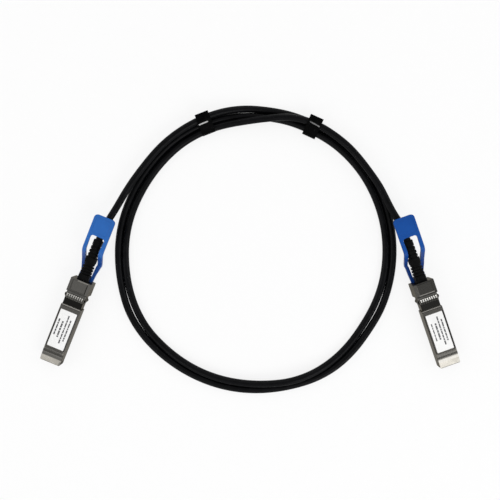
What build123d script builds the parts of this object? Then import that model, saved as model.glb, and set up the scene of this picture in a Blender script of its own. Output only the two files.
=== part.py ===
from build123d import *
import os
from math import atan2, cos, degrees, pi, radians, sin, tan

# A coiled direct attach network cable: one round black cable with a metal plug module on each end,
# a blue pull tab on each plug and two ties on the coil. Millimetres, +Z up, floor at z = 0.
# The world origin lies on the floor between the two plugs.
#
# Each plug is drawn in its own frame: +X runs from the stop shoulder to the nose, +Z points out
# through the label, and the origin is the middle of the body's section on the shoulder plane.

# Plug body, which slides into the socket
body_length = 49.4
body_width = 13.7
body_height = 8.5
body_half = body_width / 2
body_top = body_height / 2
body_bottom = -body_height / 2
body_corner = 0.35
split_z = 1.5
nose_chamfer = 1.1
nose_side_chamfer = 0.6
cavity_half = 5.65
cavity_floor = -3.05
cavity_roof = 2.9
nose_roof_x = 41.2
nose_roof = 2.1
cavity_rear = 12.4
card_ledge_half = 4.75
nose_opening_x = 37.1

# Head, which stays outside the socket
head_length = 9.0
head_width = 14.0
head_half = head_width / 2
head_top = 4.6
head_bottom = -7.25
head_corner = 0.8
head_wall = 1.2
head_cavity_half = 5.4
head_cavity_floor = -2.95
head_panel_length = 7.6
head_panel_width = 10.6
head_panel_rise = 0.35
cable_port_half = 3.1
cable_port_height = 5.0
wire_bay_floor = -1.6
tab_channel_floor = -6.3
tab_channel_roof = -3.6
tab_channel_half = 5.45
tab_channel_rear_x = -8.0
tab_channel_front_x = -0.9
arm_slot_inner = 3.0
arm_slot_roof = -3.9

# Spring collar seat round the body and the collar itself
seat_length = 9.5
seat_depth = 0.55
seat_half = body_half - seat_depth
seat_top = body_top - seat_depth
sheet = 0.2
finger_width = 1.2
finger_pitch = 1.46
finger_profile_points = ((0.6, 0.12), (1.2, 0.12), (2.1, 0.95), (2.6, 1.12), (3.1, 1.1), (4.4, 0.3),
                         (4.9, 0.25))
collar_gap_half = 3.3

# Label pocket and nose details on the cover
label_length = 25.7
label_width = 11.3
label_thickness = 0.1
label_pocket_depth = 0.15
label_centre_x = 25.65
rim_groove_width = 0.3
rim_groove_depth = 0.35
cross_groove_x = (40.0, 40.8)
cross_groove_depth = 0.2
rib_height = 0.15
rib_length = 0.8
slope_start_x = 42.7
slope_step = 0.22
slope_drop = 1.25

# Circuit card
card_thickness = 1.0
card_bottom = body_bottom + 2.25
card_top = card_bottom + card_thickness
card_rear_x = 12.9
card_neck_x = 37.6
card_front_x = 46.0
card_half_rear = 5.35
card_half_front = 4.6
contact_count = 10
contact_pitch = 0.8
contact_size = (2.4, 0.5)
contact_thickness = 0.06
chip_at = (26, 1.2)
chip_size = 3.0
chip_height = 0.9
capacitors_at = ((30, 2.2), (30, 0.6))
capacitor_size = (1.0, 0.5, 0.5)

# Cable inside and outside the plug
cable_diameter = 4.7
cable_radius = cable_diameter / 2
pair_size = (1.9, 1.2)
pair_offset = 1.0
pair_rear_x = -6.4
pair_length = 22.0
ferrule_radius = 2.7
ferrule_bore = 2.1
ferrule_length = 3.4
ferrule_chamfer = 0.3
boot_length = 28.4
boot_core_width = 5.2
boot_core_height = 5.2
# Each ring on the boot's core: distance from the head to its near and far side, width, height
boot_blocks = ((0.0, 4.2, 7.3, 6.4), (12.6, 16.4, 7.0, 6.1))
boot_ribs = ((5.0, 6.1, 7.2, 6.2), (7.0, 8.1, 7.2, 6.2), (9.0, 10.1, 7.1, 6.1), (11.0, 12.6, 6.5, 6.0),
             (17.2, 18.8, 6.3, 5.8), (19.6, 21.2, 6.3, 5.8), (22.0, 23.8, 6.1, 5.7),
             (24.6, 28.4, 5.9, 5.7))
boot_flange = (8.4, 5.6, 1.2)

# Pull tab
tab_reach = 44.4
tab_width = 14.0
tab_thickness = 1.8
tab_grip_length = 13.6
tab_arm_width = 2.2
tab_field_inset = 1.7
tab_field_depth = 0.15
tab_grip_shift = {"left": -0.3, "right": 1.1}
tab_arm_shift = {"left": 0.4, "right": -0.4}
tab_grip_z = 4.7
tab_arm_z = -5.1
tab_drop_start = 20.6
tab_drop_end = 12.4
tab_bend_radius = 4.0
tab_narrow_start = 12.2
tab_narrow_end = 5.6
tab_straight_end = 1.2
tab_narrow_width = 10.5
tab_grip_corner = 2.4
tab_window_corner = 1.8
tab_bar_front = -1.6
tab_bar_length = 1.8

# Latch lever, slider and spring under the body
latch_pocket_length = 11.9
latch_pocket_half = 3.05
latch_pocket_roof = -2.2
latch_pin_x = 10.5
latch_pin_z = -3.35
latch_pin_radius = 0.43
latch_pin_half = 3.8
latch_barrel_radius = 0.85
lever_bottom = -3.82
lever_top = -3.2
lever_half = 1.45
lever_front_x = 2.0
ear_half = 2.6
ear_x = 3.2
ear_length = 1.2
post_tip_z = -4.7
post_shoulder_x = 2.5
post_length = 2.6
post_half = 1.3
post_tip_half = 0.4
slider_top = -3.85
slider_thickness = 0.32
prong_tip_x = 6.4
prong_root_x = 1.2
prong_inner = 1.7
hook_bottom = -5.6
ramp_start_x = 3.9
ramp_top_x = 6.0
ramp_rise = 0.55
spring_bottom = -5.9
spring_width = 1.4
spring_ends = (-7.85, 2.75)

# Screws that join the two halves
screw_x = 11.2
screw_y = 4.6
screw_radius = 0.55
screw_head_radius = 1.15
screw_column_radius = 1.15
screw_top = 2.7

# Where the plugs and the coil lie, as seen from above, from the middle of the view
view_centre = (-0.15, 27.66)
left_plug_at = (-112.7, -28.1)
left_plug_heading = 22.4
right_plug_at = (115.1, -29.1)
right_plug_heading = 19.5
coil_at = (3.8, -1.1)
coil_inner_radius = 84.7
top_strand_at = (3.0, 1.5)
top_strand_outer_radius = 92.8
top_strand_rise = cable_diameter
coil_section_radius = 2.4
coil_section_sides = 10
strand_web = (2.0, 3.4)
left_merge_angle = 150.0
right_merge_angle = 28.0
tie_wall = 0.7
tie_clearance = 0.2
grip_run = 10.0
left_tie_angle = 111.5
right_tie_angle = 65.5
tie_length = 9.1
tie_ear_width = 5.3
tie_ear_height = 5.1
tie_ear_offset = (1.35, 1.0)
tie_slot_width = 1.0
# Each tie's slot: place across from the top strand, place along the tie, length
tie_slots = {"left": (-2.6, -1.0, 6.6), "right": (-1.0, 0.5, 7.6)}

# The head is deeper than the body, so each plug lies on the head's front edge and the nose's edge
nose_contact_x = body_length - nose_chamfer
rest_pitch = degrees(atan2(body_bottom - head_bottom, nose_contact_x))


def cut_box(x_from, x_to, y_from, y_to, z_from, z_to):
    """Removes a straight-sided pocket from the part being built."""
    with BuildSketch(Plane.XY.offset(z_from)) as pocket:
        with Locations(((x_from + x_to) / 2, (y_from + y_to) / 2)):
            Rectangle(x_to - x_from, y_to - y_from)
    extrude(pocket.sketch, amount=z_to - z_from, mode=Mode.SUBTRACT)


def add_section(x_from, length, half_width, z_from, z_to, corner_z, corner):
    """Adds a length of body with its two corners at height corner_z rounded."""
    with BuildSketch(Plane.YZ.offset(x_from)) as profile:
        with Locations((0, (z_from + z_to) / 2)):
            Rectangle(2 * half_width, z_to - z_from)
        rounded = [v for v in profile.vertices() if abs(v.Z - corner_z) < 0.01]
        fillet(rounded, corner)
    extrude(profile.sketch, amount=length)


def cut_collar_seat():
    """Cuts the shallow seat of the spring collar round the body."""
    with BuildSketch(Plane.YZ) as seat_ring:
        Rectangle(body_width + 1, body_height + 1)
        Rectangle(2 * seat_half, 2 * seat_top, mode=Mode.SUBTRACT)
    extrude(seat_ring.sketch, amount=seat_length, mode=Mode.SUBTRACT)


# Lower housing, die cast: body tray, deeper head, card ledges, latch pocket and tab channel
with BuildPart() as lower_housing:
    add_section(0, body_length, body_half, body_bottom, split_z, body_bottom, body_corner)
    add_section(-head_length, head_length, head_half, head_bottom, split_z, head_bottom, head_corner)
    cut_collar_seat()
    # Card bay, with the ledges that the card rests on
    cut_box(cavity_rear, body_length, -cavity_half, cavity_half, card_bottom, split_z)
    cut_box(cavity_rear, body_length, -card_ledge_half, card_ledge_half, cavity_floor, card_bottom)
    # Open underside at the nose, where the host contacts reach the card
    cut_box(nose_opening_x, body_length, -cavity_half, cavity_half, body_bottom, card_bottom)
    # Wire bay over the latch pocket, and the bay in the head
    cut_box(0, cavity_rear, -head_cavity_half, head_cavity_half, wire_bay_floor, split_z)
    cut_box(head_wall - head_length, 0, -head_cavity_half, head_cavity_half, head_cavity_floor, split_z)
    cut_box(-head_length, head_wall - head_length, -cable_port_half, cable_port_half,
            -cable_port_height / 2, split_z)
    # Channel of the pull tab's cross bar, open to the latch pocket, and the slots of its arms
    with BuildSketch(Plane.XZ):
        with BuildLine():
            Polyline((tab_channel_rear_x, tab_channel_floor), (tab_channel_front_x, tab_channel_floor),
                     (tab_channel_front_x, body_bottom), (0, body_bottom), (0, tab_channel_roof),
                     (tab_channel_rear_x, tab_channel_roof), close=True)
        make_face()
    extrude(amount=tab_channel_half, both=True, mode=Mode.SUBTRACT)
    for side in (-1, 1):
        arm_slot = sorted((side * arm_slot_inner, side * tab_channel_half))
        cut_box(-head_length, tab_channel_rear_x, *arm_slot, tab_channel_floor, arm_slot_roof)
    # Latch pocket under the body, with the bore of the lever's pin
    cut_box(0, latch_pocket_length, -latch_pocket_half, latch_pocket_half, body_bottom,
            latch_pocket_roof)
    with BuildSketch(Plane.XZ):
        with Locations((latch_pin_x, latch_pin_z)):
            Circle(latch_pin_radius + 0.02)
    extrude(amount=latch_pin_half, both=True, mode=Mode.SUBTRACT)
    # Screw columns and their countersunk holes
    with BuildSketch(Plane.XY.offset(wire_bay_floor)):
        with GridLocations(0, 2 * screw_y, 1, 2):
            with Locations((screw_x, 0)):
                Circle(screw_column_radius)
    extrude(amount=split_z - wire_bay_floor)
    with Locations(Plane(origin=(screw_x, 0, body_bottom), x_dir=(1, 0, 0), z_dir=(0, 0, -1))):
        with GridLocations(0, 2 * screw_y, 1, 2):
            CounterSinkHole(radius=screw_radius + 0.05, counter_sink_radius=screw_head_radius + 0.05,
                            counter_sink_angle=90)
    # Lead-in chamfers of the nose
    with BuildSketch(Plane.XZ):
        with BuildLine():
            Polyline((body_length, body_bottom), (body_length, body_bottom + nose_chamfer),
                     (body_length - nose_chamfer, body_bottom), close=True)
        make_face()
    extrude(amount=body_half, both=True, mode=Mode.SUBTRACT)
    nose_edges = lower_housing.edges().filter_by(Axis.Z).group_by(Axis.X)[-1]
    chamfer([e for e in nose_edges if abs(abs(e.center().Y) - body_half) < 0.01], nose_side_chamfer)
lower_housing.part.label = "lower_housing"

# Upper cover, die cast: head panel, collar seat, cross rib, label pocket and nose slope
with BuildPart() as upper_cover:
    add_section(0, body_length, body_half, split_z, body_top, body_top, body_corner)
    add_section(-head_length, head_length, head_half, split_z, head_top, head_top, head_corner)
    cut_collar_seat()
    # Raised panel on the head, with a shallow sunk field
    with BuildSketch(Plane.XY.offset(head_top)):
        with Locations((-head_length / 2, 0)):
            RectangleRounded(head_panel_length, head_panel_width, 0.5)
    extrude(amount=head_panel_rise, taper=20)
    with BuildSketch(Plane.XY.offset(head_top + head_panel_rise)):
        with Locations((-head_length / 2, 0)):
            RectangleRounded(head_panel_length - 1.5, head_panel_width - 1.5, 0.4)
    extrude(amount=-head_panel_rise / 2, mode=Mode.SUBTRACT)
    # Low cross rib in front of the collar seat
    with BuildSketch(Plane.XZ):
        with BuildLine():
            Polyline((seat_length, body_top), (seat_length + 0.2, body_top + rib_height),
                     (seat_length + rib_length - 0.3, body_top + rib_height),
                     (seat_length + rib_length, body_top), close=True)
        make_face()
    extrude(amount=body_half - body_corner, both=True)
    # Label pocket with a narrow groove down each side
    label_from = label_centre_x - label_length / 2 - 0.1
    label_to = label_centre_x + label_length / 2 + 0.1
    label_edge = label_width / 2 + 0.1
    cut_box(label_from, label_to, -label_edge, label_edge, body_top - label_pocket_depth, body_top)
    for side in (-1, 1):
        groove = sorted((side * label_edge, side * (label_edge + rim_groove_width)))
        cut_box(label_from, label_to, *groove, body_top - rim_groove_depth, body_top)
    # Cross groove, step and slope towards the nose
    with BuildSketch(Plane.XZ):
        with BuildLine():
            Polyline((cross_groove_x[0], body_top),
                     (cross_groove_x[0] + cross_groove_depth, body_top - cross_groove_depth),
                     (cross_groove_x[1] - cross_groove_depth, body_top - cross_groove_depth),
                     (cross_groove_x[1], body_top), close=True)
        make_face()
        with BuildLine():
            Polyline((slope_start_x, body_top), (slope_start_x + 0.15, body_top - slope_step),
                     (body_length - 0.4, body_top - slope_step - slope_drop + 0.4),
                     (body_length, body_top - slope_step - slope_drop), (body_length, body_top),
                     close=True)
        make_face()
    extrude(amount=body_half, both=True, mode=Mode.SUBTRACT)
    # Bays over the card, the wires and the ferrule
    cut_box(cavity_rear, nose_roof_x, -cavity_half, cavity_half, split_z, cavity_roof)
    cut_box(nose_roof_x, body_length, -cavity_half, cavity_half, split_z, nose_roof)
    cut_box(head_wall - head_length, cavity_rear, -head_cavity_half, head_cavity_half, split_z,
            cavity_roof)
    cut_box(-head_length, head_wall - head_length, -cable_port_half, cable_port_half, split_z,
            cable_port_height / 2)
    # Bosses that the screws bite into
    with BuildSketch(Plane.XY.offset(split_z)):
        with GridLocations(0, 2 * screw_y, 1, 2):
            with Locations((screw_x, 0)):
                Circle(screw_column_radius)
    extrude(amount=cavity_roof - split_z)
    with BuildSketch(Plane.XY.offset(split_z)):
        with GridLocations(0, 2 * screw_y, 1, 2):
            with Locations((screw_x, 0)):
                Circle(screw_radius + 0.03)
    extrude(amount=screw_top + 0.2 - split_z, mode=Mode.SUBTRACT)
    nose_edges = upper_cover.edges().filter_by(Axis.Z).group_by(Axis.X)[-1]
    chamfer([e for e in nose_edges if abs(abs(e.center().Y) - body_half) < 0.01], nose_side_chamfer)
upper_cover.part.label = "upper_cover"


def finger_planes(outward, across, places):
    """Planes on which one row of collar fingers is drawn, +X forward and their y axis outward."""
    normal = Vector(1, 0, 0).cross(Vector(outward))
    return [Plane(origin=Vector(across) * p, x_dir=(1, 0, 0), z_dir=normal) for p in places]


def add_fingers(planes, seat):
    """Adds one row of arched fingers that stand on a seat at the given height."""
    with BuildSketch(*planes) as finger_profile:
        with BuildLine():
            Polyline(*[(x, seat + rise) for x, rise in finger_profile_points])
        trace(line_width=sheet)
    extrude(finger_profile.sketch, amount=finger_width / 2, both=True)


def spread_places(count, pitch):
    """Evenly spaced places about zero."""
    return [(i - (count - 1) / 2) * pitch for i in range(count)]


# Spring collar, stamped from one sheet: a band in the seat and arched fingers on every side.
# It is open underneath, where the latch works.
with BuildPart() as emi_collar:
    with BuildSketch(Plane.YZ.offset(0.1)):
        RectangleRounded(2 * (seat_half + sheet + 0.02), 2 * (seat_top + sheet + 0.02), 0.3)
        Rectangle(2 * (seat_half + 0.02), 2 * (seat_top + 0.02), mode=Mode.SUBTRACT)
        with Locations((0, body_bottom)):
            Rectangle(2 * collar_gap_half, 2 * seat_depth + 0.6, mode=Mode.SUBTRACT)
    extrude(amount=1.4)
    add_fingers(finger_planes((0, 0, 1), (0, 1, 0), spread_places(8, finger_pitch)), seat_top)
    add_fingers(finger_planes((0, 1, 0), (0, 0, 1), spread_places(4, finger_pitch)), seat_half)
    add_fingers(finger_planes((0, -1, 0), (0, 0, 1), spread_places(4, finger_pitch)), seat_half)
    add_fingers(finger_planes((0, 0, -1), (0, 1, 0), (-5.4, -4.05, 4.05, 5.4)), seat_top)
emi_collar.part.label = "emi_collar"

# Label
with BuildPart() as label:
    with BuildSketch(Plane.XY.offset(body_top - label_pocket_depth)):
        with Locations((label_centre_x, 0)):
            RectangleRounded(label_length, label_width, 0.4)
    extrude(amount=label_thickness)
label.part.label = "label"

# Circuit card, narrower at the front edge that enters the socket
with BuildPart() as paddle_card:
    with BuildSketch(Plane.XY.offset(card_bottom)):
        with BuildLine():
            half_outline = Polyline(
                (card_rear_x, 0), (card_rear_x, card_half_rear), (card_neck_x, card_half_rear),
                (card_neck_x + 0.75, card_half_front), (card_front_x - 0.4, card_half_front),
                (card_front_x, card_half_front - 0.4), (card_front_x, 0))
            mirror(half_outline, about=Plane.XZ)
        make_face()
    extrude(amount=card_thickness)
    front_edges = paddle_card.edges().filter_by(Axis.Y).group_by(Axis.X)[-1]
    chamfer(front_edges, 0.3)
paddle_card.part.label = "paddle_card"

# Gold contact pads on both faces of the card
with BuildPart() as card_contacts:
    contact_x = card_front_x - 0.5 - contact_size[0] / 2
    for pad_z in (card_top, card_bottom - contact_thickness):
        with BuildSketch(Plane.XY.offset(pad_z)):
            with Locations((contact_x, 0)):
                with GridLocations(0, contact_pitch, 1, contact_count):
                    Rectangle(*contact_size)
        extrude(amount=contact_thickness)
card_contacts.part.label = "card_contacts"

# Memory chip and two capacitors on the card
with BuildPart() as memory_chip:
    with BuildSketch(Plane.XY.offset(card_top)):
        with Locations(chip_at):
            Rectangle(chip_size, chip_size)
    extrude(amount=chip_height)
    with BuildSketch(Plane.XY.offset(card_top)):
        with Locations(*capacitors_at):
            Rectangle(capacitor_size[0], capacitor_size[1])
    extrude(amount=capacitor_size[2])
memory_chip.part.label = "memory_chip"

# Two shielded wire pairs from the cable's end to the card
with BuildPart() as twin_pairs:
    with BuildSketch(Plane.YZ.offset(pair_rear_x)):
        with Locations((0, card_top + pair_size[1] / 2)):
            with GridLocations(2 * pair_offset, 0, 2, 1):
                SlotOverall(*pair_size)
    extrude(amount=pair_length)
twin_pairs.part.label = "twin_pairs"

# Ring crimped on the cable's shield inside the head
with BuildPart() as crimp_ferrule:
    with BuildSketch(Plane.YZ.offset(pair_rear_x)):
        Circle(ferrule_radius)
        Circle(ferrule_bore, mode=Mode.SUBTRACT)
    extrude(amount=ferrule_length)
    front_circles = crimp_ferrule.edges().filter_by(GeomType.CIRCLE).group_by(Axis.X)[-1]
    chamfer(front_circles.sort_by(SortBy.RADIUS)[-1], ferrule_chamfer)
crimp_ferrule.part.label = "crimp_ferrule"

# Strain relief: flange and neck held in the head, a base block, and a core that carries thin ribs,
# a gripping block and the slimmer end rings, with flex slots between them
boot_end_x = -head_length - boot_length
with BuildPart() as cable_boot:
    with BuildSketch(Plane.YZ.offset(head_wall - head_length + 0.05)):
        RectangleRounded(boot_flange[0], boot_flange[1], 0.8)
    extrude(amount=boot_flange[2])
    with BuildSketch(Plane.YZ.offset(-head_length)):
        RectangleRounded(2 * cable_port_half - 0.1, cable_port_height - 0.1, 0.6)
    extrude(amount=head_wall + 0.1)
    with BuildSketch(Plane.YZ.offset(boot_end_x)) as core:
        Rectangle(boot_core_width, boot_core_height)
        chamfer(core.vertices(), 1.1)
    extrude(amount=boot_length)
    for near, far, width, height in boot_blocks:
        with BuildSketch(Plane.YZ.offset(-head_length - far)):
            RectangleRounded(width, height, 1.1)
        extrude(amount=far - near)
    for near, far, width, height in boot_ribs:
        with BuildSketch(Plane.YZ.offset(-head_length - far)) as rib:
            Rectangle(width, height)
            chamfer(rib.vertices(), 1.3)
        extrude(amount=far - near)
    chamfer(cable_boot.faces().sort_by(Axis.X)[0].edges(), 0.25)
cable_boot.part.label = "cable_boot"

# Pull tab: a bent strip in side view, cut to the grip, two arms and a cross bar in plan. The grip
# and the arms lie a little to one side, because the arms are flexible.
tab_end_x = -head_length - tab_reach
tab_half = tab_width / 2
grip_edge_x = tab_end_x + tab_grip_length
bar_rear_x = tab_bar_front - tab_bar_length


def tab_outline(start_x, wide_half, narrow_half, end_x, side):
    """Corners of the tab's plan, round one side and back, with its grip and arms shifted across."""
    grip_shift = tab_grip_shift[side]
    arm_shift = tab_arm_shift[side]
    wide_x = -head_length - tab_narrow_start
    narrow_x = -head_length - tab_narrow_end
    straight_x = -head_length - tab_straight_end
    near = [(start_x, grip_shift + wide_half), (wide_x, arm_shift + wide_half),
            (narrow_x, arm_shift + narrow_half), (straight_x, narrow_half), (end_x, narrow_half)]
    far = [(start_x, grip_shift - wide_half), (wide_x, arm_shift - wide_half),
           (narrow_x, arm_shift - narrow_half), (straight_x, -narrow_half), (end_x, -narrow_half)]
    return near + far[::-1]


def make_pull_tab(side):
    """The pull tab of one plug."""
    narrow_half = tab_narrow_width / 2
    grip_shift = tab_grip_shift[side]
    with BuildPart() as pull_tab:
        with BuildSketch(Plane.XZ):
            with BuildLine():
                FilletPolyline((tab_end_x, tab_grip_z), (-head_length - tab_drop_start, tab_grip_z),
                               (-head_length - tab_drop_end, tab_arm_z), (tab_bar_front, tab_arm_z),
                               radius=tab_bend_radius)
            trace(line_width=tab_thickness)
        extrude(amount=tab_half + abs(grip_shift) + 1, both=True)
        with BuildSketch(Plane.XY.offset(-8)) as tab_plan:
            with BuildLine():
                Polyline(*tab_outline(tab_end_x, tab_half, narrow_half, tab_bar_front, side),
                         close=True)
            make_face()
            fillet(tab_plan.vertices().group_by(Axis.X)[0], tab_grip_corner)
            with BuildLine():
                Polyline(*tab_outline(grip_edge_x, tab_half - tab_arm_width, narrow_half - tab_arm_width,
                                      bar_rear_x, side), close=True)
            make_face(mode=Mode.SUBTRACT)
            window_corners = [v for v in tab_plan.vertices() if abs(v.X - grip_edge_x) < 0.01]
            fillet(window_corners, tab_window_corner)
        extrude(amount=16, mode=Mode.INTERSECT)
        # Shallow field on the grip
        with BuildSketch(Plane.XY.offset(tab_grip_z + tab_thickness / 2 - tab_field_depth)) as grip_field:
            with Locations((tab_end_x + tab_grip_length / 2, grip_shift)):
                RectangleRounded(tab_grip_length - 2 * tab_field_inset, tab_width - 2 * tab_field_inset,
                                 1.4)
        extrude(grip_field.sketch, amount=1, mode=Mode.SUBTRACT)
    pull_tab.part.label = "pull_tab"
    return pull_tab


pull_tabs = {side: make_pull_tab(side) for side in ("left", "right")}

# Sheet-metal slider: hooked behind the tab's cross bar, two prongs with ramps under the lever's ears
slider_bottom = slider_top - slider_thickness
hook_x = bar_rear_x - 0.03
with BuildPart() as release_slider:
    with BuildSketch(Plane.XY.offset(slider_bottom)):
        with BuildLine():
            Polyline((hook_x - slider_thickness, -ear_half), (prong_tip_x, -ear_half),
                     (prong_tip_x, -prong_inner), (prong_root_x, -prong_inner),
                     (prong_root_x, prong_inner), (prong_tip_x, prong_inner),
                     (prong_tip_x, ear_half), (hook_x - slider_thickness, ear_half), close=True)
        make_face()
    extrude(amount=slider_thickness)
    with BuildSketch(Plane.XZ):
        with BuildLine():
            Polyline((hook_x - slider_thickness, slider_top), (hook_x, slider_top),
                     (hook_x, hook_bottom), (hook_x - slider_thickness, hook_bottom), close=True)
        make_face()
    extrude(amount=ear_half, both=True)
    with BuildSketch(Plane.XZ.offset(-ear_half), Plane.XZ.offset(prong_inner)):
        with BuildLine():
            Polyline((ramp_start_x, slider_top), (ramp_top_x, slider_top + ramp_rise),
                     (prong_tip_x, slider_top + ramp_rise), (prong_tip_x, slider_top), close=True)
        make_face()
    extrude(amount=ear_half - prong_inner)
release_slider.part.label = "release_slider"

# Leaf spring bowed between the head's rear wall and the slider's hook
with BuildPart() as return_spring:
    with BuildSketch(Plane.XY.offset(spring_bottom)):
        with BuildLine():
            ThreePointArc((spring_ends[0], -spring_ends[1]), (hook_x - slider_thickness - 0.12, 0),
                          spring_ends)
        trace(line_width=sheet)
    extrude(amount=spring_width)
return_spring.part.label = "return_spring"

# Latch lever: barrel round the pin, flat arm, two ears and the triangular post
with BuildPart() as latch_lever:
    with BuildSketch(Plane.XY.offset(lever_bottom)):
        with Locations(((lever_front_x + latch_pin_x) / 2, 0)):
            Rectangle(latch_pin_x - lever_front_x, 2 * lever_half)
        with Locations((ear_x, 0)):
            Rectangle(ear_length, 2 * ear_half)
    extrude(amount=lever_top - lever_bottom)
    with BuildSketch(Plane.XZ):
        with Locations((latch_pin_x, latch_pin_z)):
            Circle(latch_barrel_radius)
    extrude(amount=ear_half, both=True)
    with BuildSketch(Plane.XY.offset(post_tip_z)):
        with BuildLine():
            Polyline((post_shoulder_x, -post_half), (post_shoulder_x + post_length, -post_tip_half),
                     (post_shoulder_x + post_length, post_tip_half), (post_shoulder_x, post_half),
                     close=True)
        make_face()
    extrude(amount=lever_bottom - post_tip_z + 0.1)
    with BuildSketch(Plane.XZ):
        with BuildLine():
            Polyline((post_shoulder_x + 0.9, post_tip_z), (post_shoulder_x + post_length, post_tip_z),
                     (post_shoulder_x + post_length, body_bottom), close=True)
        make_face()
    extrude(amount=post_half, both=True, mode=Mode.SUBTRACT)
    with BuildSketch(Plane.XZ):
        with Locations((latch_pin_x, latch_pin_z)):
            Circle(latch_pin_radius + 0.04)
    extrude(amount=ear_half, both=True, mode=Mode.SUBTRACT)
latch_lever.part.label = "latch_lever"

# Pivot pin of the lever
with BuildPart() as latch_pin:
    with BuildSketch(Plane.XZ):
        with Locations((latch_pin_x, latch_pin_z)):
            Circle(latch_pin_radius)
    extrude(amount=latch_pin_half, both=True)
latch_pin.part.label = "latch_pin"

# Two countersunk screws
with BuildPart() as housing_screws:
    with BuildSketch(Plane.XZ.offset(-screw_y)):
        with BuildLine():
            Polyline((screw_x, body_bottom), (screw_x + screw_head_radius, body_bottom),
                     (screw_x + screw_radius, body_bottom + screw_head_radius - screw_radius),
                     (screw_x + screw_radius, screw_top), (screw_x, screw_top), close=True)
        make_face()
    revolve(axis=Axis((screw_x, screw_y, 0), (0, 0, 1)))
    mirror(about=Plane.XZ)
housing_screws.part.label = "housing_screws"

plug_pieces = (lower_housing, upper_cover, emi_collar, label, paddle_card, card_contacts, memory_chip,
               twin_pairs, crimp_ferrule, cable_boot, release_slider, return_spring,
               latch_lever, latch_pin, housing_screws)


def from_view(point, z=0.0):
    """A point given from the middle of the view, in the world frame."""
    return Vector(point[0] + view_centre[0], point[1] + view_centre[1], z)


def plug_plane(place, heading):
    """The plug frame as the plug lies: turned by its heading and pitched onto its two edges."""
    pitch = radians(rest_pitch)
    forward = Vector(sin(radians(heading)), -cos(radians(heading)), 0)
    nose_way = forward * cos(pitch) - Vector(0, 0, sin(pitch))
    label_way = forward * sin(pitch) + Vector(0, 0, cos(pitch))
    return Plane(origin=from_view(place, -head_bottom * cos(pitch)), x_dir=nose_way, z_dir=label_way)


plug_planes = {"left": plug_plane(left_plug_at, -left_plug_heading),
               "right": plug_plane(right_plug_at, right_plug_heading)}

# The coil: two strands side by side on the ties' straps, and the third strand over the top arc
strand_z = tie_wall + tie_clearance + cable_radius
top_strand_z = strand_z + top_strand_rise
inner_strand_radius = coil_inner_radius + cable_radius
outer_strand_radius = inner_strand_radius + cable_diameter
top_strand_radius = top_strand_outer_radius - cable_radius
coil_centre = from_view(coil_at)
top_centre = from_view(top_strand_at)


def on_circle(centre, radius, angle, z):
    """A point on a level circle."""
    return Vector(centre.X + radius * cos(radians(angle)), centre.Y + radius * sin(radians(angle)), z)


with BuildPart() as cable_coil:
    with BuildSketch(Plane(origin=coil_centre, x_dir=(1, 0, 0), z_dir=(0, -1, 0))):
        for strand_radius in (inner_strand_radius, outer_strand_radius):
            with Locations((strand_radius, strand_z)):
                RegularPolygon(coil_section_radius, coil_section_sides)
        with Locations(((inner_strand_radius + outer_strand_radius) / 2, strand_z)):
            Rectangle(cable_diameter, 2 * cable_radius)
    revolve(axis=Axis(coil_centre, (0, 0, 1)))
    arc_start = on_circle(top_centre, top_strand_radius, right_merge_angle, top_strand_z)
    outward = Vector(cos(radians(right_merge_angle)), sin(radians(right_merge_angle)), 0)
    with BuildSketch(Plane(origin=arc_start, x_dir=outward, z_dir=outward.cross(Vector(0, 0, 1)))):
        RegularPolygon(coil_section_radius, coil_section_sides)
        with Locations((-1.3, -strand_web[1] / 2)):
            Rectangle(*strand_web)
    revolve(axis=Axis(top_centre, (0, 0, 1)), revolution_arc=left_merge_angle - right_merge_angle)
cable_coil.part.label = "cable_coil"


# Free stretches from each boot to the coil: the boot's end, straight on under the grip, a point by
# hand, and a level run that joins the top arc along its tangent
def merge_run(angle, travel, run):
    """The last two points of a tail: a level tangent run that ends on the top arc."""
    end = on_circle(top_centre, top_strand_radius, angle, top_strand_z)
    tangent = Vector(-sin(radians(angle)), cos(radians(angle)), 0) * travel
    return [end - tangent * run, end]


boot_end = {side: plane.from_local_coords(Vector(boot_end_x, 0, 0)) for side, plane in plug_planes.items()}
under_grip = {side: plane.from_local_coords(Vector(boot_end_x - grip_run, 0, 0))
              for side, plane in plug_planes.items()}
left_route = [boot_end["left"], under_grip["left"], from_view((-88.5, 26.9), 8.9)]
left_route += merge_run(left_merge_angle, -1, 11.0)
right_route = [boot_end["right"], under_grip["right"], from_view((94.3, 24.4), 8.9)]
right_route += merge_run(right_merge_angle, 1, 10.0)


def corner_radii(route):
    """The largest arc that the two runs at each inner point of a route allow."""
    radii = []
    for before, point, after in zip(route, route[1:], route[2:]):
        turn = radians((point - before).get_angle(after - point))
        shorter = min((point - before).length, (after - point).length)
        radii.append(0.45 * shorter / tan(turn / 2))
    return radii


tails = []
for side, route in (("left", left_route), ("right", right_route)):
    radii = corner_radii(route)
    with BuildPart() as cable_tail:
        with BuildLine() as tail_path:
            FilletPolyline(*route, radius=radii)
        with BuildSketch(Plane(origin=route[0], z_dir=route[1] - route[0])):
            Circle(cable_radius)
        sweep()
    cable_tail.part.label = f"{side}_cable_tail"
    tails.append(cable_tail.part)
    path_length = sum(edge.length for edge in tail_path.edges())
    print(side, "tail radii", [round(r, 1) for r in radii], "length", round(path_length, 2),
          "volume", round(cable_tail.part.volume, 2),
          "section times length", round(pi * cable_radius**2 * path_length, 2))

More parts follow.
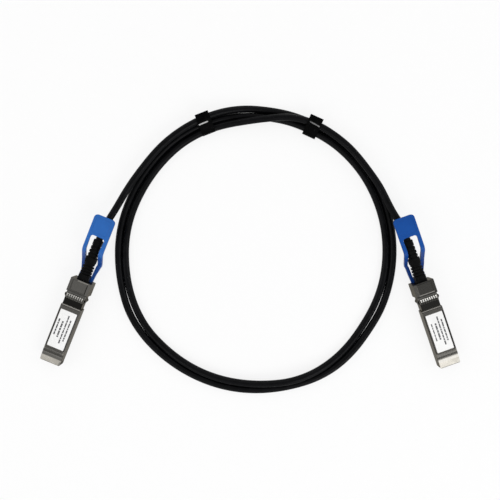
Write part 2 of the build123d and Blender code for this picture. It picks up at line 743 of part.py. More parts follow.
# Ties: a strap round the three strands, with a flat ear on its outer side and a slot beside the ear
ties = []
for side, angle in (("left", left_tie_angle), ("right", right_tie_angle)):
    spoke = Vector(cos(radians(angle)), sin(radians(angle)), 0)
    along = spoke.cross(Vector(0, 0, 1))
    offset_out = (top_centre - coil_centre).dot(spoke)
    top_radius = top_strand_radius + offset_out
    tie_plane = Plane(origin=coil_centre, x_dir=spoke, z_dir=along)
    with BuildPart() as coil_tie:
        with BuildSketch(tie_plane.offset(-tie_length / 2)) as tie_profile:
            strands = [(inner_strand_radius, strand_z), (outer_strand_radius, strand_z),
                       (top_radius, top_strand_z)]
            with BuildLine():
                Polyline(*strands, close=True)
            make_face()
            offset(amount=cable_radius + tie_clearance + tie_wall)
            with Locations((top_radius + tie_ear_offset[0], top_strand_z + tie_ear_offset[1])):
                RectangleRounded(tie_ear_width, tie_ear_height, 0.4)
            with BuildLine():
                Polyline(*strands, close=True)
            inner_face = make_face(mode=Mode.PRIVATE)
            offset(inner_face, amount=cable_radius + tie_clearance, mode=Mode.SUBTRACT)
        extrude(amount=tie_length)
        # Slot along the top, beside the ear
        slot_across, slot_along, slot_length = tie_slots[side]
        with BuildSketch(tie_plane.offset(slot_along - slot_length / 2)) as slot_profile:
            with Locations((top_radius + slot_across, top_strand_z + cable_radius)):
                Rectangle(tie_slot_width, cable_diameter)
        extrude(slot_profile.sketch, amount=slot_length, mode=Mode.SUBTRACT)
    coil_tie.part.label = f"{side}_coil_tie"
    ties.append(coil_tie.part)

os.makedirs("parts", exist_ok=True)
placed_pieces = []
for side, plane in plug_planes.items():
    for piece in plug_pieces + (pull_tabs[side],):
        placed = plane.location * piece.part
        placed.label = f"{side}_{piece.part.label}"
        export_step(placed, f"parts/{placed.label}.step")
        placed_pieces.append(placed)
for piece in [cable_coil.part] + tails + ties:
    export_step(piece, f"parts/{piece.label}.step")

plug_box = Compound(children=placed_pieces).bounding_box()
print("plugs from", tuple(plug_box.min), "to", tuple(plug_box.max))
for side, plane in plug_planes.items():
    print(side, "plug origin", tuple(plane.origin), "x", tuple(plane.x_dir), "y", tuple(plane.y_dir))
print("pitch", round(rest_pitch, 6))
for side, route in (("left", left_route), ("right", right_route)):
    print(side, "route", [tuple(round(c, 3) for c in point) for point in route])
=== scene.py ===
import bpy
import bmesh
from math import atan2, cos, radians, sin
from mathutils import Matrix, Vector


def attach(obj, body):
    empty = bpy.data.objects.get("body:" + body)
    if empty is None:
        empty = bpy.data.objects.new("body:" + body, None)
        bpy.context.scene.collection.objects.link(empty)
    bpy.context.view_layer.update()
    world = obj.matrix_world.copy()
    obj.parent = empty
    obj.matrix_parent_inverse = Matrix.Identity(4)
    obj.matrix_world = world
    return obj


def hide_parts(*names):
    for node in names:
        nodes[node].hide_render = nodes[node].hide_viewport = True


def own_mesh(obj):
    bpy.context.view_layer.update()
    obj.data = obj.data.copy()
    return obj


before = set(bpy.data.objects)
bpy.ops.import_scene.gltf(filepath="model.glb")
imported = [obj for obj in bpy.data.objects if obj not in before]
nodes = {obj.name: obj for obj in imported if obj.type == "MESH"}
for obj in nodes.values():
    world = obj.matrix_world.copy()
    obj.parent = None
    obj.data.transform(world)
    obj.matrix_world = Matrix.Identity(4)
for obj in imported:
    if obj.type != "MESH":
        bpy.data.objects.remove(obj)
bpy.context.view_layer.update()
mm = 0.001


def addObject(name, data):
    added = bpy.data.objects.new(name, data)
    bpy.context.scene.collection.objects.link(added)
    return added


# camera, straight above the coil

cameraSet = {"place": (-0.15, 27.66, 430.0), "lens": 46.4, "sensor": 36.0, "clip": (10.0, 10000.0)}

cameraData = bpy.data.cameras.new("overheadCamera")
cameraData.lens = cameraSet["lens"]
cameraData.sensor_width = cameraSet["sensor"]
cameraData.clip_start = cameraSet["clip"][0] * mm
cameraData.clip_end = cameraSet["clip"][1] * mm
camera = addObject("overheadCamera", cameraData)
camera.location = Vector(cameraSet["place"]) * mm
bpy.context.scene.camera = camera
bpy.context.scene.view_settings.view_transform = "Standard"
print("camera placed")


# the cable, one cord from boot to boot

cordSet = {
    "diameter": 4.7,
    "length": 1405.0,
    "bevelResolution": 6,
    "splineResolution": 8,
    "centre": (3.65, 26.56),
    "countFrom": 150,  # the degrees gone round are counted from this angle
    "firstAngle": 135,
    "lastAngle": -675,
    "stepAngle": 10,
    "pull": 0.9962,  # a smooth spline runs this much inside its points
    "leftTail": ((-98.625, 34.072, 9.555), (-94.822, 43.299, 10.174), (-87.85, 54.5, 8.9),
                 (-82.1, 64.95, 7.95), (-75.9, 74.5, 7.95)),
    "rightTail": ((83.5, 71.8, 7.95), (88.1, 62.95, 7.95), (93.25, 52.0, 8.9),
                  (99.158, 43.155, 10.174), (102.49, 33.747, 9.555)),
    # degrees gone round since the left tail, radius and height of the strand there
    "strand": (
        (15, 92.7, 7.6), (27, 93.3, 7.8), (38, 93.8, 7.85), (48, 94.9, 5.4), (54, 94.7, 4.4),
        (60, 94.1, 3.2), (66, 93.6, 2.7), (75, 93.4, 2.7), (84, 92.6, 3.2), (93, 92.8, 2.9),
        (102, 92.6, 2.5), (114, 92.2, 2.4), (126, 91.6, 2.4), (138, 91.3, 2.4), (150, 91.0, 2.4),
        (168, 91.1, 2.4), (174, 91.3, 2.4), (180, 91.25, 2.4), (186, 90.9, 2.4), (198, 92.4, 2.4),
        (204, 92.9, 2.4), (210, 93.2, 2.4), (216, 92.7, 2.4), (222, 92.0, 2.4), (234, 91.6, 2.4),
        (270, 91.6, 2.4), (282, 92.1, 2.4), (294, 92.9, 2.4), (300, 93.4, 2.4), (306, 93.0, 2.4),
        (312, 92.1, 2.4), (324, 91.2, 2.4), (336, 91.0, 2.4), (348, 90.55, 2.4), (360, 89.9, 2.4),
        (375, 90.5, 2.4), (390, 91.4, 2.9), (398, 91.2, 3.25), (408, 90.7, 2.5), (414, 90.2, 2.4),
        (420, 89.5, 2.4), (426, 89.0, 2.45), (435, 88.7, 2.7), (444, 87.9, 3.2), (453, 88.1, 2.9),
        (462, 87.9, 2.5), (474, 87.5, 2.4), (486, 86.9, 2.4), (498, 86.6, 2.4), (510, 86.3, 2.4),
        (528, 86.4, 2.4), (534, 86.2, 2.4), (540, 86.05, 2.4), (546, 86.15, 2.4), (558, 87.7, 2.5),
        (564, 88.2, 3.2), (570, 88.6, 3.9), (576, 88.75, 5.0), (582, 88.7, 5.8), (588, 88.2, 5.5),
        (594, 87.6, 4.9), (606, 87.2, 4.1), (630, 87.2, 4.0), (642, 87.4, 2.6), (654, 88.2, 2.4),
        (660, 88.5, 2.4), (666, 87.8, 2.4), (672, 87.4, 2.4), (684, 86.5, 2.4), (696, 86.3, 2.4),
        (708, 85.85, 2.4), (720, 85.2, 2.4), (735, 85.8, 2.4), (750, 86.75, 2.9), (758, 86.5, 3.25),
        (768, 86.0, 3.9), (774, 85.8, 5.4), (780, 86.0, 6.7), (786, 87.9, 7.2), (795, 91.4, 7.4),
        (804, 92.5, 7.9), (822, 91.75, 7.5), (834, 91.75, 7.6)),
}


def strandAt(travel):
    knots = cordSet["strand"]
    for (fromTravel, fromRadius, fromZ), (toTravel, toRadius, toZ) in zip(knots, knots[1:]):
        if travel <= toTravel:
            share = (travel - fromTravel) / (toTravel - fromTravel)
            return fromRadius + (toRadius - fromRadius) * share, fromZ + (toZ - fromZ) * share
    return knots[-1][1], knots[-1][2]


def coilPoints():
    points = []
    for angle in range(cordSet["firstAngle"], cordSet["lastAngle"] - 1, -cordSet["stepAngle"]):
        radius, z = strandAt(cordSet["countFrom"] - angle)
        radius = radius / cordSet["pull"]
        points.append((cordSet["centre"][0] + radius * cos(radians(angle)),
                       cordSet["centre"][1] + radius * sin(radians(angle)), z))
    return points


def makeCord(points):
    curve = bpy.data.curves.new("network_cable", "CURVE")
    curve.dimensions = "3D"
    curve.bevel_depth = 1.0  # times each point's own radius
    curve.bevel_resolution = cordSet["bevelResolution"]
    curve.resolution_u = cordSet["splineResolution"]
    curve.use_fill_caps = True
    spline = curve.splines.new("NURBS")
    spline.points.add(len(points) - 1)
    for point, place in zip(spline.points, points):
        point.co = (place[0] * mm, place[1] * mm, place[2] * mm, 1.0)
        point.radius = cordSet["diameter"] / 2 * mm
    spline.order_u = 3
    spline.use_endpoint_u = True
    return addObject("network_cable", curve)


networkCable = makeCord(list(cordSet["leftTail"]) + coilPoints() + list(cordSet["rightTail"]))
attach(networkCable, "assembly")
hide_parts("cable_coil", "left_cable_tail", "right_cable_tail")
print("cable laid")


# places of the two plugs: +X to the nose, +Z out of the label

plugSet = {
    # a plug lies on its head's edge and its nose's edge, so it is tipped down to the nose
    "headDepth": 7.25,
    "bodyDepth": 4.25,
    "noseEdge": 48.3,
    "left": {"place": (-112.85, -0.44), "heading": -22.4},
    "right": {"place": (114.95, -1.44), "heading": 19.5},
}


def plugMatrix(side):
    pitch = atan2(plugSet["headDepth"] - plugSet["bodyDepth"], plugSet["noseEdge"])
    heading = radians(plugSet[side]["heading"])
    nose = Vector((sin(heading) * cos(pitch), -cos(heading) * cos(pitch), -sin(pitch)))
    across = Vector((cos(heading), sin(heading), 0))
    matrix = Matrix((nose, across, nose.cross(across))).transposed().to_4x4()
    matrix.translation = Vector((*plugSet[side]["place"], plugSet["headDepth"] * cos(pitch))) * mm
    return matrix


# nodes that the finishes share

noiseSet = {"toneDetail": 3.0, "toneSpan": (0.35, 0.65),
            "grainDetail": 4.0, "grainSpan": (0.3, 0.7)}
everywhere = (-99, 99)  # a span with no end


def addNoise(tree, source, scale, detail):
    noise = tree.nodes.new("ShaderNodeTexNoise")
    noise.inputs["Scale"].default_value = scale
    noise.inputs["Detail"].default_value = detail
    tree.links.new(source, noise.inputs["Vector"])
    return noise.outputs["Fac"]


def addRange(tree, source, fromLow, fromHigh, toLow, toHigh):
    mapRange = tree.nodes.new("ShaderNodeMapRange")
    limits = {"From Min": fromLow, "From Max": fromHigh, "To Min": toLow, "To Max": toHigh}
    for inlet, value in limits.items():
        mapRange.inputs[inlet].default_value = value
    tree.links.new(source, mapRange.inputs["Value"])
    return mapRange.outputs["Result"]


def addMath(tree, operation, first, second):
    math = tree.nodes.new("ShaderNodeMath")
    math.operation = operation
    tree.links.new(first, math.inputs[0])
    if isinstance(second, float):
        math.inputs[1].default_value = second
    else:
        tree.links.new(second, math.inputs[1])
    return math.outputs["Value"]


def addMix(tree, factor, dark, pale):
    mix = tree.nodes.new("ShaderNodeMix")
    mix.data_type = "RGBA"
    tree.links.new(factor, mix.inputs[0])
    for inlet, colour in ((6, dark), (7, pale)):  # a Mix node's two colours
        if isinstance(colour, tuple):
            mix.inputs[inlet].default_value = (*colour, 1.0)
        else:
            tree.links.new(colour, mix.inputs[inlet])
    return mix.outputs[2]


def addBump(tree, height, strength, distance):
    bump = tree.nodes.new("ShaderNodeBump")
    bump.inputs["Strength"].default_value = strength
    bump.inputs["Distance"].default_value = distance * mm
    tree.links.new(height, bump.inputs["Height"])
    return bump.outputs["Normal"]


def splitAxes(tree, source):
    separate = tree.nodes.new("ShaderNodeSeparateXYZ")
    tree.links.new(source, separate.inputs["Vector"])
    return separate.outputs


def within(tree, source, spans, edge):
    axes = splitAxes(tree, source)
    inside = None
    for axis, (low, high) in zip("XYZ", spans):
        steps = []
        if low > everywhere[0]:
            steps.append(addRange(tree, axes[axis], (low - edge) * mm, low * mm, 0.0, 1.0))
        if high < everywhere[1]:
            steps.append(addRange(tree, axes[axis], high * mm, (high + edge) * mm, 1.0, 0.0))
        for step in steps:
            inside = addMath(tree, "MULTIPLY", inside, step) if inside else step
    return inside


def startFinish(name, finishSet, matrix=None):
    material = bpy.data.materials.new(name)
    material.use_nodes = True
    tree = material.node_tree
    shader = tree.nodes["Principled BSDF"]
    place = tree.nodes.new("ShaderNodeTexCoord").outputs["Object"]
    if matrix:  # the pattern lies in the plug's own frame
        mapping = tree.nodes.new("ShaderNodeMapping")
        mapping.vector_type = "TEXTURE"
        mapping.inputs["Location"].default_value = matrix.translation
        mapping.inputs["Rotation"].default_value = matrix.to_euler()
        tree.links.new(place, mapping.inputs["Vector"])
        place = mapping.outputs["Vector"]
    for inlet in ("Metallic", "Specular IOR Level", "Specular Tint"):
        if inlet in finishSet:
            shader.inputs[inlet].default_value = finishSet[inlet]
    # broad tone, then fine grain in the gloss and the surface
    tone = addNoise(tree, place, finishSet["toneScale"], noiseSet["toneDetail"])
    share = addRange(tree, tone, *noiseSet["toneSpan"], 0.0, 1.0)
    colour = addMix(tree, share, finishSet["dark"], finishSet["pale"])
    grain = addNoise(tree, place, finishSet["grainScale"], noiseSet["grainDetail"])
    rough = addRange(tree, grain, *noiseSet["grainSpan"], *finishSet["rough"])
    normal = addBump(tree, grain, finishSet["bump"], finishSet["grainDepth"])
    tree.links.new(colour, shader.inputs["Base Color"])
    tree.links.new(rough, shader.inputs["Roughness"])
    tree.links.new(normal, shader.inputs["Normal"])
    return material, tree, shader, place, colour


# plain finishes

finishSets = {
    "label_film": {
        "dark": (0.82, 0.82, 0.815), "pale": (0.87, 0.87, 0.865), "toneScale": 120,
        "rough": (0.42, 0.55), "grainScale": 3500, "bump": 0.25, "grainDepth": 0.02},
    "card_laminate": {
        "dark": (0.01, 0.06, 0.03), "pale": (0.015, 0.09, 0.045), "toneScale": 400,
        "rough": (0.3, 0.42), "grainScale": 2500, "bump": 0.3, "grainDepth": 0.02},
    "contact_gold": {
        "dark": (0.78, 0.5, 0.2), "pale": (0.88, 0.6, 0.27), "toneScale": 500, "Metallic": 1.0,
        "rough": (0.18, 0.3), "grainScale": 3000, "bump": 0.15, "grainDepth": 0.01},
    "chip_black": {
        "dark": (0.012, 0.012, 0.013), "pale": (0.02, 0.02, 0.021), "toneScale": 500,
        "rough": (0.45, 0.6), "grainScale": 4000, "bump": 0.4, "grainDepth": 0.02},
    "pair_foil": {
        "dark": (0.5, 0.51, 0.52), "pale": (0.66, 0.67, 0.68), "toneScale": 500, "Metallic": 0.9,
        "rough": (0.25, 0.45), "grainScale": 1200, "bump": 0.6, "grainDepth": 0.05},
    "ferrule_metal": {
        "dark": (0.5, 0.44, 0.34), "pale": (0.6, 0.54, 0.43), "toneScale": 300, "Metallic": 1.0,
        "rough": (0.28, 0.4), "grainScale": 2000, "bump": 0.3, "grainDepth": 0.02},
    "boot_rubber": {
        "dark": (0.0018, 0.0018, 0.002), "pale": (0.004, 0.004, 0.004), "toneScale": 250,
        "rough": (0.45, 0.6), "grainScale": 2200, "bump": 0.4, "grainDepth": 0.04,
        "Specular IOR Level": 0.05},
    "spring_steel": {
        "dark": (0.4, 0.39, 0.38), "pale": (0.52, 0.51, 0.5), "toneScale": 300, "Metallic": 1.0,
        "rough": (0.25, 0.38), "grainScale": 2500, "bump": 0.25, "grainDepth": 0.02},
    "screw_steel": {
        "dark": (0.45, 0.45, 0.46), "pale": (0.58, 0.58, 0.59), "toneScale": 500, "Metallic": 1.0,
        "rough": (0.22, 0.34), "grainScale": 2500, "bump": 0.2, "grainDepth": 0.01},
    "tie_plastic": {
        "dark": (0.0009, 0.0009, 0.001), "pale": (0.0022, 0.0022, 0.0024), "toneScale": 300,
        "rough": (0.35, 0.5), "grainScale": 1800, "bump": 0.5, "grainDepth": 0.05,
        "Specular IOR Level": 0.02},
}
finishes = {name: startFinish(name, finishSet)[0] for name, finishSet in finishSets.items()}


# die-cast halves of the plugs

castSet = {"dark": (0.175, 0.167, 0.15), "pale": (0.25, 0.238, 0.215), "toneScale": 90,
           "rough": (0.2, 0.3), "grainScale": 1600, "bump": 0.35, "grainDepth": 0.03,
           "Metallic": 1.0, "Specular Tint": (0.35, 0.34, 0.32, 1.0), "warmth": (1.0, 0.97, 0.9)}
# painted light and shade, darker and brighter places that differ between the plugs: spans along,
# across and up in the plug's own frame, where 9 is outside the plug, then the soft edge and the
# painted tone left and right
castLightAndShade = (
    ((-9.5, -8.4), everywhere, (3.9, 9), 0.15, 0.15, 0.06),  # rear edge of the head
    ((-8.4, -0.8), (-5.1, 5.1), (4.62, 9), 0.12, 0.145, 0.07),  # sunk field of the head
    ((-8.4, -0.8), (5.5, 9), (3.9, 9), 0.2, 0.17, 0.06),  # edges beside it
    ((-8.4, -0.8), (-9, -5.5), (3.9, 9), 0.2, 0.14, 0.12),
    ((-8.2, -0.9), (4.75, 5.3), (4.5, 9), 0.1, 0.05, 0.05),  # painted light and shade lines round the field
    ((-8.2, -0.9), (-5.3, -4.85), (4.5, 9), 0.1, 0.07, 0.18),
    ((-8.6, -8.1), (-2.0, 5.2), (4.4, 9), 0.1, 0.38, 0.07),
    ((-1.4, -0.95), (-5.1, 5.1), (4.5, 9), 0.1, 0.11, 0.36),
    ((-0.75, 0.2), everywhere, (3.4, 9), 0.15, 0.085, 0.05),  # front edge of the head
    ((4.6, 9.2), everywhere, (3.25, 9), 0.2, 0.018, 0.028),  # shaded seat of the collar
    ((9.3, 9.75), everywhere, (3.6, 9), 0.1, 0.3, 0.24),  # lit edge of the cross rib
    ((9.95, 10.5), everywhere, (3.6, 9), 0.1, 0.07, 0.05),  # its shade
    ((10.7, 12.5), everywhere, (3.8, 9), 0.15, 0.13, 0.11),  # step before the label
    ((9.2, 46.0), (6.5, 9), (-9, 3.4), 0.2, 0.28, 0.21),  # side walls, with painted light and shade
    ((46.5, 99), (6.0, 9), (-9, 3.4), 0.4, 0.1, 0.2),
    ((9.2, 46.0), (-9, -6.5), (-9, 3.4), 0.2, 0.21, 0.3),
    ((12.6, 39.0), (-9, -6.0), (3.8, 9), 0.15, 0.09, 0.06),  # label pocket's edges, with painted shade in the groove
    ((12.6, 39.0), (5.72, 6.3), (3.8, 9), 0.12, 0.06, 0.05),
    ((12.6, 39.0), (6.4, 9), (3.8, 9), 0.12, 0.16, 0.06),
    ((39.1, 39.5), (-6.2, 5.9), (3.0, 9), 0.1, 0.05, 0.04),  # painted shade and light bands before the nose slope
    ((39.5, 41.4), (-6.2, 5.9), (3.0, 9), 0.1, 0.13, 0.19),
    ((41.5, 41.85), everywhere, (3.0, 9), 0.1, 0.07, 0.06),
    ((42.0, 43.5), everywhere, (3.0, 9), 0.15, 0.075, 0.105),
    ((43.7, 45.2), everywhere, (2.6, 9), 0.4, 0.055, 0.22),  # start of the nose slope, painted shade on the left plug and painted light on the right
)


def castMetal(side):
    material, tree, shader, place, colour = startFinish("die_cast_metal_" + side, castSet,
                                                        plugMatrix(side))
    # paint each place's light or shade tone, which differs between the two plugs
    for along, across, up, edge, leftPaintedTone, rightPaintedTone in castLightAndShade:
        tone = leftPaintedTone if side == "left" else rightPaintedTone
        inside = within(tree, place, (along, across, up), edge)
        colour = addMix(tree, inside, colour, tuple(tone * part for part in castSet["warmth"]))
    tree.links.new(colour, shader.inputs["Base Color"])
    return material


# spring collars, with a painted highlight on each finger's crest and painted shade on the tips

collarSet = {"dark": (0.12, 0.118, 0.11), "pale": (0.16, 0.157, 0.145), "toneScale": 300,
             "rough": (0.16, 0.24), "grainScale": 2500, "bump": 0.2, "grainDepth": 0.02,
             "Metallic": 1.0, "Specular Tint": (0.4, 0.39, 0.37, 1.0),
             # spans of the painted crest highlights and the painted tip shade in the plug's own
             # frame
             "crest": ((1.75, 3.2), (-6.0, 6.0), (4.0, 9)),
             "tip": ((3.4, 9), everywhere, everywhere),
             "edge": 0.2, "pitch": 1.46, "flank": 0.27, "flankEdge": 0.1,
             # painted highlight of the crest and painted shade of the tip, brighter on the right
             # plug
             "left": ((0.5, 0.49, 0.46), (0.09, 0.088, 0.08)),
             "right": ((0.98, 0.97, 0.92), (0.04, 0.039, 0.036))}


def collarSteel(side):
    crestHighlight, tipShade = collarSet[side]
    material, tree, shader, place, colour = startFinish("collar_steel_" + side, collarSet,
                                                        plugMatrix(side))
    # painted highlight on the crests and painted shade on the tips
    crest = within(tree, place, collarSet["crest"], collarSet["edge"])
    tip = within(tree, place, collarSet["tip"], collarSet["edge"])
    # painted highlight only on the middle of each finger, painted shade on its flanks where they
    # turn down
    fold = addMath(tree, "PINGPONG", splitAxes(tree, place)["Y"], collarSet["pitch"] / 2 * mm)
    flank = collarSet["flank"] * mm
    middle = addRange(tree, fold, flank, flank + collarSet["flankEdge"] * mm, 0.0, 1.0)
    paintedShine = addMix(tree, middle, tipShade, crestHighlight)
    colour = addMix(tree, crest, addMix(tree, tip, colour, tipShade), paintedShine)
    tree.links.new(colour, shader.inputs["Base Color"])
    return material


# pull tabs

# the left tab is painted lighter and the right darker: lit and shaded copies of one blue
tabSet = {"left": {"dark": (0.01, 0.097, 0.36), "pale": (0.014, 0.114, 0.41),
                   "Specular IOR Level": 0.3},
          "right": {"dark": (0.001, 0.052, 0.26), "pale": (0.0025, 0.064, 0.3),
                    "Specular IOR Level": 0.18},
          "both": {"toneScale": 60, "rough": (0.36, 0.46), "grainScale": 1500, "bump": 0.3,
                   "grainDepth": 0.03},
          # painted shade: the arms below the grip are darker
          "armShadeTop": 2.5, "armShadeEdge": 1.6,
          "arms": {"left": (0.009, 0.069, 0.31), "right": (0.004, 0.043, 0.23)}}


def tabPlastic(side):
    finishSet = {**tabSet["both"], **tabSet[side]}
    material, tree, shader, place, colour = startFinish("tab_plastic_" + side, finishSet,
                                                        plugMatrix(side))
    # painted shade on the arms below the grip
    below = (everywhere[0], tabSet["armShadeTop"])
    arms = within(tree, place, (everywhere, everywhere, below), tabSet["armShadeEdge"])
    colour = addMix(tree, arms, colour, tabSet["arms"][side])
    tree.links.new(colour, shader.inputs["Base Color"])
    return material


# each finish goes on its pieces

jacketSet = {"dark": (0.0014, 0.0015, 0.0019), "pale": (0.003, 0.0031, 0.0039), "toneScale": 180,
             "rough": (0.3, 0.4), "grainScale": 1500, "bump": 0.25, "grainDepth": 0.03,
             "Specular IOR Level": 0.08}
networkCable.data.materials.append(startFinish("cable_jacket", jacketSet)[0])

nodeFinish = {"label": "label_film", "paddle_card": "card_laminate",
              "card_contacts": "contact_gold", "memory_chip": "chip_black",
              "twin_pairs": "pair_foil", "crimp_ferrule": "ferrule_metal",
              "cable_boot": "boot_rubber", "release_slider": "spring_steel",
              "return_spring": "spring_steel", "latch_lever": "spring_steel",
              "latch_pin": "spring_steel", "housing_screws": "screw_steel",
              "coil_tie": "tie_plastic"}
tabFinish = {}
for side in ("left", "right"):
    castFinish = castMetal(side)
    tabFinish[side] = tabPlastic(side)
    collarFinish = collarSteel(side)
    for part in ("lower_housing", "upper_cover"):
        nodes[f"{side}_{part}"].material_slots[0].material = castFinish
    nodes[f"{side}_pull_tab"].material_slots[0].material = tabFinish[side]
    nodes[f"{side}_emi_collar"].material_slots[0].material = collarFinish
    for part, name in nodeFinish.items():
        nodes[f"{side}_{part}"].material_slots[0].material = finishes[name]
print("finishes mixed")


# the moulded and cast edges are slightly rounded

edgeSet = {"lower_housing": 0.12, "upper_cover": 0.12, "pull_tab": 0.25, "coil_tie": 0.2,
           "angle": 30, "segments": 2, "weld": 0.001}


def softenEdges(piece, width):
    weld = piece.modifiers.new("weldCorners", "WELD")
    weld.merge_threshold = edgeSet["weld"] * mm
    bevel = piece.modifiers.new("softEdges", "BEVEL")
    bevel.width = width * mm
    bevel.segments = edgeSet["segments"]
    bevel.limit_method = "ANGLE"
    bevel.angle_limit = radians(edgeSet["angle"])
    bevel.profile = 0.5
    bevel.harden_normals = True


for side in ("left", "right"):
    for part in ("lower_housing", "upper_cover", "coil_tie"):
        softenEdges(nodes[f"{side}_{part}"], edgeSet[part])
print("edges softened")


# what the new pieces share

def addBox(bm, centre, size, matrix, edge, segments=2):
    box = bmesh.ops.create_cube(bm, size=1.0)
    bmesh.ops.scale(bm, vec=Vector(size) * mm, verts=box["verts"])
    edges = list({e for v in box["verts"] for e in v.link_edges})
    made = bmesh.ops.bevel(bm, geom=edges, offset=edge * mm, offset_type="OFFSET",
                           segments=segments, profile=0.5, affect="EDGES", material=-1)
    left = {v for v in box["verts"] if v.is_valid}
    verts = list({v for f in made["faces"] for v in f.verts} | left)
    place = matrix @ Matrix.Translation(Vector(centre) * mm)
    bmesh.ops.transform(bm, matrix=place, verts=verts)


def mergedCopy(name):
    bm = bmesh.new()
    bm.from_mesh(nodes[name].data)
    bmesh.ops.remove_doubles(bm, verts=bm.verts, dist=edgeSet["weld"] * mm)
    return bm


def finishPiece(name, bm, material, body="assembly"):
    mesh = bpy.data.meshes.new(name)
    bm.to_mesh(mesh)
    bm.free()
    mesh.materials.append(material)
    piece = addObject(name, mesh)
    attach(piece, body)
    return piece


# print on the labels: plain grey bars

printSet = {
    "barHeight": 0.75,
    "barEdge": 0.01,
    "thickness": 0.03,
    "sink": 0.005,
    "labelTop": 4.2,
    "labelStart": 12.8,
    "gap": 0.35,
    "shortest": 0.4,
    "lengths": (2.1, 1.3, 2.7, 1.7, 3.1, 1.1, 2.3),
    # place across the label, start and end along it, height of the bars against the others
    "left": ((-4.0, 6.4, 17.6, 1.3), (-1.4, 7.3, 18.5, 1.5), (1.1, 2.6, 22.4, 1.2),
             (3.25, 5.1, 19.9, 1.2)),
    "right": ((-3.6, 6.1, 18.0, 1.0), (-1.0, 6.5, 18.5, 1.5), (1.3, 2.5, 22.2, 1.25),
              (3.5, 5.0, 19.7, 1.25)),
}
inkSet = {"dark": (0.03, 0.03, 0.034), "pale": (0.13, 0.13, 0.135), "toneScale": 2600,
          "rough": (0.45, 0.6), "grainScale": 3500, "bump": 0.2, "grainDepth": 0.01}


def makeLabelPrint(side, ink):
    bm = bmesh.new()
    matrix = plugMatrix(side)
    lengths = printSet["lengths"]
    z = printSet["labelTop"] + printSet["thickness"] / 2 - printSet["sink"]
    for row, (y, start, end, weight) in enumerate(printSet[side]):
        x = start
        count = row
        while x < end - printSet["shortest"]:
            length = min(lengths[count % len(lengths)], end - x)
            centre = (printSet["labelStart"] + x + length / 2, y, z)
            size = (length, printSet["barHeight"] * weight, printSet["thickness"])
            addBox(bm, centre, size, matrix, printSet["barEdge"])
            x += length + printSet["gap"]
            count += 1
    return finishPiece(side + "_label_print", bm, ink)


# pale strips in the ties' slots, a painted glimpse of the lit floor through them; the right one
# painted darker as shade

stripSet = {
    "left": {"dark": (0.42, 0.42, 0.42), "pale": (0.5, 0.5, 0.5)},
    "right": {"dark": (0.16, 0.16, 0.16), "pale": (0.22, 0.22, 0.22)},
    "both": {"toneScale": 400, "rough": (0.4, 0.55), "grainScale": 3000, "bump": 0.3,
             "grainDepth": 0.02},
    "edge": 0.15,
    # angle round the coil, radius and height of the strip's middle, its size, turn and tilt
    "places": {"left": (112.2, 90.6, 9.75, (0.9, 6.4, 0.5), 0, 37),
               "right": (65.2, 91.5, 10.6, (0.9, 7.4, 0.5), -5, 0)},
}


def makeTieStrip(side, strip):
    angle, radius, z, size, turn, tilt = stripSet["places"][side]
    place = Matrix.Translation(Vector((*cordSet["centre"], 0)) * mm)
    place = place @ Matrix.Rotation(radians(angle), 4, "Z")
    place = place @ Matrix.Translation(Vector((radius, 0, z)) * mm)
    place = place @ Matrix.Rotation(radians(turn), 4, "Z")
    place = place @ Matrix.Rotation(radians(-tilt), 4, "Y")
    bm = bmesh.new()
    addBox(bm, (0, 0, 0), size, place, stripSet["edge"])
    return finishPiece(side + "_tie_strip", bm, strip)


# bow springs, which on the real plug flatten as the tabs are pulled; here a still copy of the
# return spring


def makeBowSpring(side):
    matrix = plugMatrix(side)
    bm = mergedCopy(side + "_return_spring")
    spring = finishPiece(side + "_bow_spring", bm, finishes["spring_steel"])
    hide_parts(side + "_return_spring")
    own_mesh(spring)


# copies of the pull tabs, with the arms moved sideways to their places on the real ones

armSet = {
    "split": 5.9,  # an arm's outer edge lies further out than this
    # places along the plug, and how far each of the arms' four long edges moves at the middle
    # two; at the first and last it stays
    "stations": (-38.0, -31.5, -19.5, -14.6),
    "left": ((-0.3, -0.3), (0.0, 0.0), (-0.8, -1.1), (-0.35, -0.35)),
    "right": ((1.1, 1.1), (0.9, 1.1), (0.35, 0.35), (1.0, 0.8)),
}


def makeTabMoulding(side, finish):
    matrix = plugMatrix(side)
    across = matrix.col[1].xyz
    bm = mergedCopy(side + "_pull_tab")
    stations = armSet["stations"]
    for vert in bm.verts:
        x, y = ((matrix.inverted() @ vert.co) / mm).xy
        longEdge = sum(y > limit for limit in (-armSet["split"], 0.0, armSet["split"]))
        shifts = (0.0, *armSet[side][longEdge], 0.0)
        for fromX, toX, fromShift, toShift in zip(stations, stations[1:], shifts, shifts[1:]):
            if fromX <= x < toX:
                share = (x - fromX) / (toX - fromX)
                vert.co += across * (fromShift + (toShift - fromShift) * share) * mm
    moulding = finishPiece(side + "_tab_moulding", bm, finish, side + "_release")
    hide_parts(side + "_pull_tab")
    softenEdges(moulding, edgeSet["pull_tab"])


ink = startFinish("label_ink", inkSet)[0]
for side in ("left", "right"):
    strip = startFinish("tie_strip_" + side, {**stripSet["both"], **stripSet[side]})[0]
    makeLabelPrint(side, ink)
    makeTieStrip(side, strip)
    makeBowSpring(side)
    makeTabMoulding(side, tabFinish[side])
print("print, strips, bow springs and tab mouldings added")


# pale studio in metres: floor with a low wall round it, and soft lamps

studioSet = {"radius": 2.5, "segments": 64, "wallHeight": 1.2, "cove": 0.4, "coveSegments": 8,
             "drop": 0.00003,  # the floor lies this far below the object
             "floorColour": (0.86, 0.86, 0.86), "glow": 0.82, "glowStrength": 1.0,
             "sky": (0.6, 0.6, 0.6)}


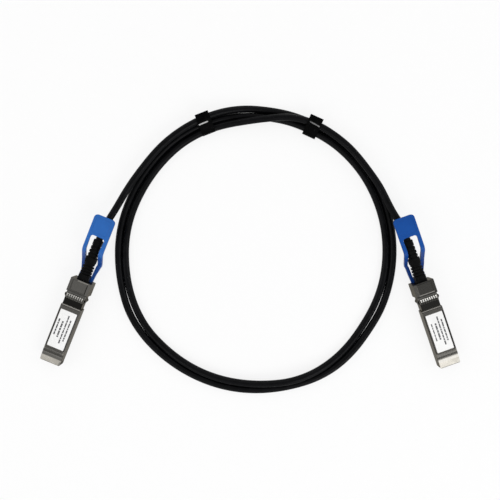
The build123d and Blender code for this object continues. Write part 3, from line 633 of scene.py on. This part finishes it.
def floorFinish():
    material = bpy.data.materials.new("studio_floor")
    material.use_nodes = True
    tree = material.node_tree
    tree.nodes.remove(tree.nodes["Principled BSDF"])
    plain = tree.nodes.new("ShaderNodeBsdfDiffuse")
    plain.inputs["Color"].default_value = (*studioSet["floorColour"], 1.0)
    glow = tree.nodes.new("ShaderNodeEmission")
    glow.inputs["Strength"].default_value = studioSet["glowStrength"]
    rays = tree.nodes.new("ShaderNodeLightPath")
    seen = rays.outputs["Is Camera Ray"]
    for ray in ("Is Glossy Ray", "Is Transmission Ray"):
        seen = addMath(tree, "MAXIMUM", seen, rays.outputs[ray])
    share = addMath(tree, "MULTIPLY", seen, studioSet["glow"])
    mix = tree.nodes.new("ShaderNodeMixShader")
    tree.links.new(share, mix.inputs[0])
    tree.links.new(plain.outputs["BSDF"], mix.inputs[1])
    tree.links.new(glow.outputs["Emission"], mix.inputs[2])
    tree.links.new(mix.outputs["Shader"], tree.nodes["Material Output"].inputs["Surface"])
    return material


def makeStudio():
    mesh = bpy.data.meshes.new("studio")
    bm = bmesh.new()
    bmesh.ops.create_circle(bm, cap_ends=True, segments=studioSet["segments"],
                            radius=studioSet["radius"])
    rim = list(bm.edges)
    wall = bmesh.ops.extrude_edge_only(bm, edges=rim)["geom"]
    top = [part for part in wall if isinstance(part, bmesh.types.BMVert)]
    bmesh.ops.translate(bm, verts=top, vec=(0, 0, studioSet["wallHeight"]))
    bmesh.ops.bevel(bm, geom=rim, offset=studioSet["cove"], offset_type="OFFSET",
                    segments=studioSet["coveSegments"], profile=0.5, affect="EDGES", material=-1)
    bmesh.ops.translate(bm, verts=bm.verts, vec=(0, 0, -studioSet["drop"]))
    bmesh.ops.recalc_face_normals(bm, faces=bm.faces)
    bm.to_mesh(mesh)
    bm.free()
    mesh.materials.append(floorFinish())
    return addObject("studio", mesh)


lampSet = {
    # place and aim, size of the soft lamp, watts
    "left_nose_lamp": ((-0.65, -0.8, 0.95), (-0.13, -0.04, 0.0), (0.7, 0.6), 2.6),
    "right_nose_lamp": ((0.65, -0.8, 0.95), (0.13, -0.04, 0.0), (0.7, 0.6), 5.5),
    "left_lamp": ((-1.15, 0.25, 0.75), (0.0, 0.02, 0.0), (0.9, 0.9), 3.5),
    "right_lamp": ((1.15, 0.25, 0.75), (0.0, 0.02, 0.0), (0.9, 0.9), 3.5),
    "far_lamp": ((0.0, 1.25, 0.8), (0.0, 0.02, 0.0), (1.4, 0.5), 2.5),
}


def addLamps():
    for name, (place, aim, size, watts) in lampSet.items():
        data = bpy.data.lights.new(name, "AREA")
        data.shape = "RECTANGLE"
        data.size, data.size_y = size
        data.energy = watts
        lamp = addObject(name, data)
        lamp.location = place
        lamp.rotation_euler = (Vector(aim) - Vector(place)).to_track_quat("-Z", "Y").to_euler()


makeStudio()
addLamps()
world = bpy.data.worlds.new("studioSky")
bpy.context.scene.world = world
world.use_nodes = True
world.node_tree.nodes["Background"].inputs["Color"].default_value = (*studioSet["sky"], 1.0)
print("studio lit")

bpy.context.view_layer.update()
